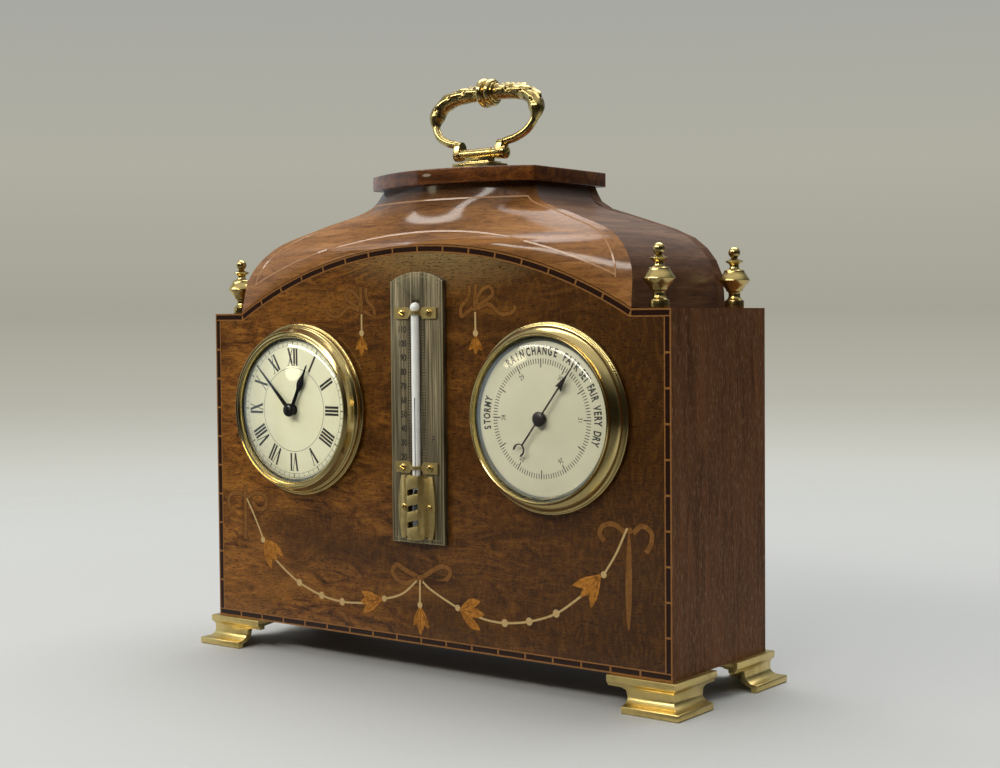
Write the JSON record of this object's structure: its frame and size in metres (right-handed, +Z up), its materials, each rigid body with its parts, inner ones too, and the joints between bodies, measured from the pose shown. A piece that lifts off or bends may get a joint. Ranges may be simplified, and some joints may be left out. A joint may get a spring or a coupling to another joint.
{
  "type": "desk compendium",
  "caption": "Inlaid mahogany desk compendium on brass bracket feet: clock and aneroid barometer flank a thermometer under an arched, ogee roof with finials and a swing handle.",
  "frame": {"origin": "on the surface that the feet stand on, under the middle of the whole object's box", "axes": "+Z up, -Y out of the dials, +X to the right of someone who looks at the dials"},
  "size_m": [0.282, 0.098, 0.2772],
  "materials": {
    "mahogany_front": "french polished, inlaid",
    "mahogany_side": "french polished",
    "mahogany_roof": "french polished, high gloss",
    "mahogany_inner": "planed, unpolished",
    "polished_brass": "polished, lacquered",
    "plain_brass": "brushed",
    "steel": "brushed",
    "blued_steel": "blued, near black",
    "clock_enamel": "cream enamel, gloss",
    "barometer_card": "greyish cream, satin",
    "clear_glass": "clear, domed",
    "silvered_brass": "worn silvering, brushed upright",
    "mercury": "mirror bright liquid"
  },
  "bodies": {
    "case": {"front_panel": "mahogany_front", "left_side_panel": "mahogany_side", "right_side_panel": "mahogany_side", "bottom_board": "mahogany_inner", "top_board": "mahogany_inner", "back_frame": "mahogany_inner", "hinge_frame_leaf": "plain_brass", "front_left_foot": "polished_brass", "front_right_foot": "polished_brass", "back_left_foot": "polished_brass", "back_right_foot": "polished_brass", "front_left_finial": "polished_brass", "front_right_finial": "polished_brass", "back_left_finial": "polished_brass", "back_right_finial": "polished_brass", "roof_front_moulding": "mahogany_roof", "roof_left_moulding": "mahogany_roof", "roof_right_moulding": "mahogany_roof", "roof_back_board": "mahogany_inner", "roof_cap": "mahogany_roof", "handle_bracket": "polished_brass", "handle_pivot_screw": "polished_brass", "clock_bezel": "polished_brass", "clock_glass": "clear_glass", "clock_dial": "clock_enamel", "clock_drum": "plain_brass", "movement_front_plate": "plain_brass", "movement_back_plate": "plain_brass", "barometer_bezel": "polished_brass", "barometer_glass": "clear_glass", "barometer_dial": "barometer_card", "barometer_drum": "plain_brass", "aneroid_capsule": "plain_brass", "barometer_lever": "steel", "thermometer_plate": "silvered_brass", "thermometer_tube": "clear_glass", "mercury_column": "mercury", "upper_tube_clip": "polished_brass", "lower_tube_clip": "polished_brass", "bulb_guard": "polished_brass"},
    "door": {"back_door": "mahogany_side", "back_door_knob": "plain_brass", "hinge_door_leaf": "plain_brass"},
    "handle": {"handle_bail": "polished_brass"},
    "minute_work": {"minute_hand": "blued_steel", "hand_setting_arbor": "steel", "hand_setting_knob": "plain_brass"},
    "hour_work": {"hour_hand": "blued_steel"},
    "motion_wheel": {"minute_wheel": "plain_brass"},
    "winding_work": {"winding_arbor": "steel", "winding_key": "plain_brass"},
    "barrel": {"mainspring_barrel": "plain_brass"},
    "centre_work": {"centre_wheel": "plain_brass"},
    "third_work": {"third_wheel": "plain_brass"},
    "fourth_work": {"fourth_wheel": "plain_brass"},
    "escape_work": {"escape_wheel": "steel"},
    "lever_work": {"pallet_lever": "steel"},
    "balance": {"balance_wheel": "plain_brass"},
    "pressure_hand": {"barometer_hand": "blued_steel"}
  },
  "joints": [
    {"name": "door_hinge", "type": "hinge", "parent": "case", "child": "door", "pos_m": [-0.1067, 0.0437, 0.0903], "axis": [0, 0, 1], "range_deg": [0, 170]},
    {"name": "handle_swing", "type": "hinge", "parent": "case", "child": "handle", "pos_m": [0, 0.0102, 0.2407], "axis": [1, 0, 0], "range_deg": [-76, 103]},
    {"name": "minute_hand_turn", "type": "hinge", "parent": "case", "child": "minute_work", "pos_m": [-0.0735, -0.036, 0.12], "axis": [0, 1, 0], "continuous": true},
    {"name": "hour_hand_turn", "type": "hinge", "parent": "case", "child": "hour_work", "pos_m": [-0.0735, -0.036, 0.12], "axis": [0, 1, 0], "continuous": true},
    {"name": "minute_wheel_turn", "type": "hinge", "parent": "case", "child": "motion_wheel", "pos_m": [-0.07864, -0.036, 0.12613], "axis": [0, 1, 0], "continuous": true},
    {"name": "winding_turn", "type": "hinge", "parent": "case", "child": "winding_work", "pos_m": [-0.08731, -0.036, 0.11497], "axis": [0, 1, 0], "continuous": true},
    {"name": "fourth_wheel_turn", "type": "hinge", "parent": "case", "child": "fourth_work", "pos_m": [-0.05872, -0.036, 0.12651], "axis": [0, 1, 0], "continuous": true},
    {"name": "third_wheel_turn", "type": "hinge", "parent": "case", "child": "third_work", "pos_m": [-0.06783, -0.036, 0.12982], "axis": [0, 1, 0], "continuous": true},
    {"name": "centre_wheel_turn", "type": "hinge", "parent": "case", "child": "centre_work", "pos_m": [-0.0735, -0.036, 0.12], "axis": [0, 1, 0], "continuous": true},
    {"name": "barrel_turn", "type": "hinge", "parent": "case", "child": "barrel", "pos_m": [-0.08731, -0.036, 0.11497], "axis": [0, 1, 0], "continuous": true},
    {"name": "escape_wheel_turn", "type": "hinge", "parent": "case", "child": "escape_work", "pos_m": [-0.05571, -0.036, 0.11822], "axis": [0, 1, 0], "continuous": true},
    {"name": "pallet_lever_swing", "type": "hinge", "parent": "case", "child": "lever_work", "pos_m": [-0.059, -0.036, 0.11115], "axis": [0, 1, 0], "range_deg": [-4, 4]},
    {"name": "balance_swing", "type": "hinge", "parent": "case", "child": "balance", "pos_m": [-0.06095, -0.036, 0.10698], "axis": [0, 1, 0], "range_deg": [-220, 220], "stiffness_Nm_per_rad": 0.000016},
    {"name": "barometer_hand_turn", "type": "hinge", "parent": "case", "child": "pressure_hand", "pos_m": [0.0735, -0.036, 0.12], "axis": [0, 1, 0], "range_deg": [-165, 95]}
  ],
  "couplings": [
    {"joint": "hour_hand_turn", "follows": "minute_hand_turn", "ratio": 0.083333},
    {"joint": "minute_wheel_turn", "follows": "minute_hand_turn", "ratio": -0.33333},
    {"joint": "third_wheel_turn", "follows": "fourth_wheel_turn", "ratio": -0.13333},
    {"joint": "centre_wheel_turn", "follows": "fourth_wheel_turn", "ratio": 0.016667},
    {"joint": "barrel_turn", "follows": "fourth_wheel_turn", "ratio": -0.0027778},
    {"joint": "escape_wheel_turn", "follows": "fourth_wheel_turn", "ratio": -6}
  ]
}
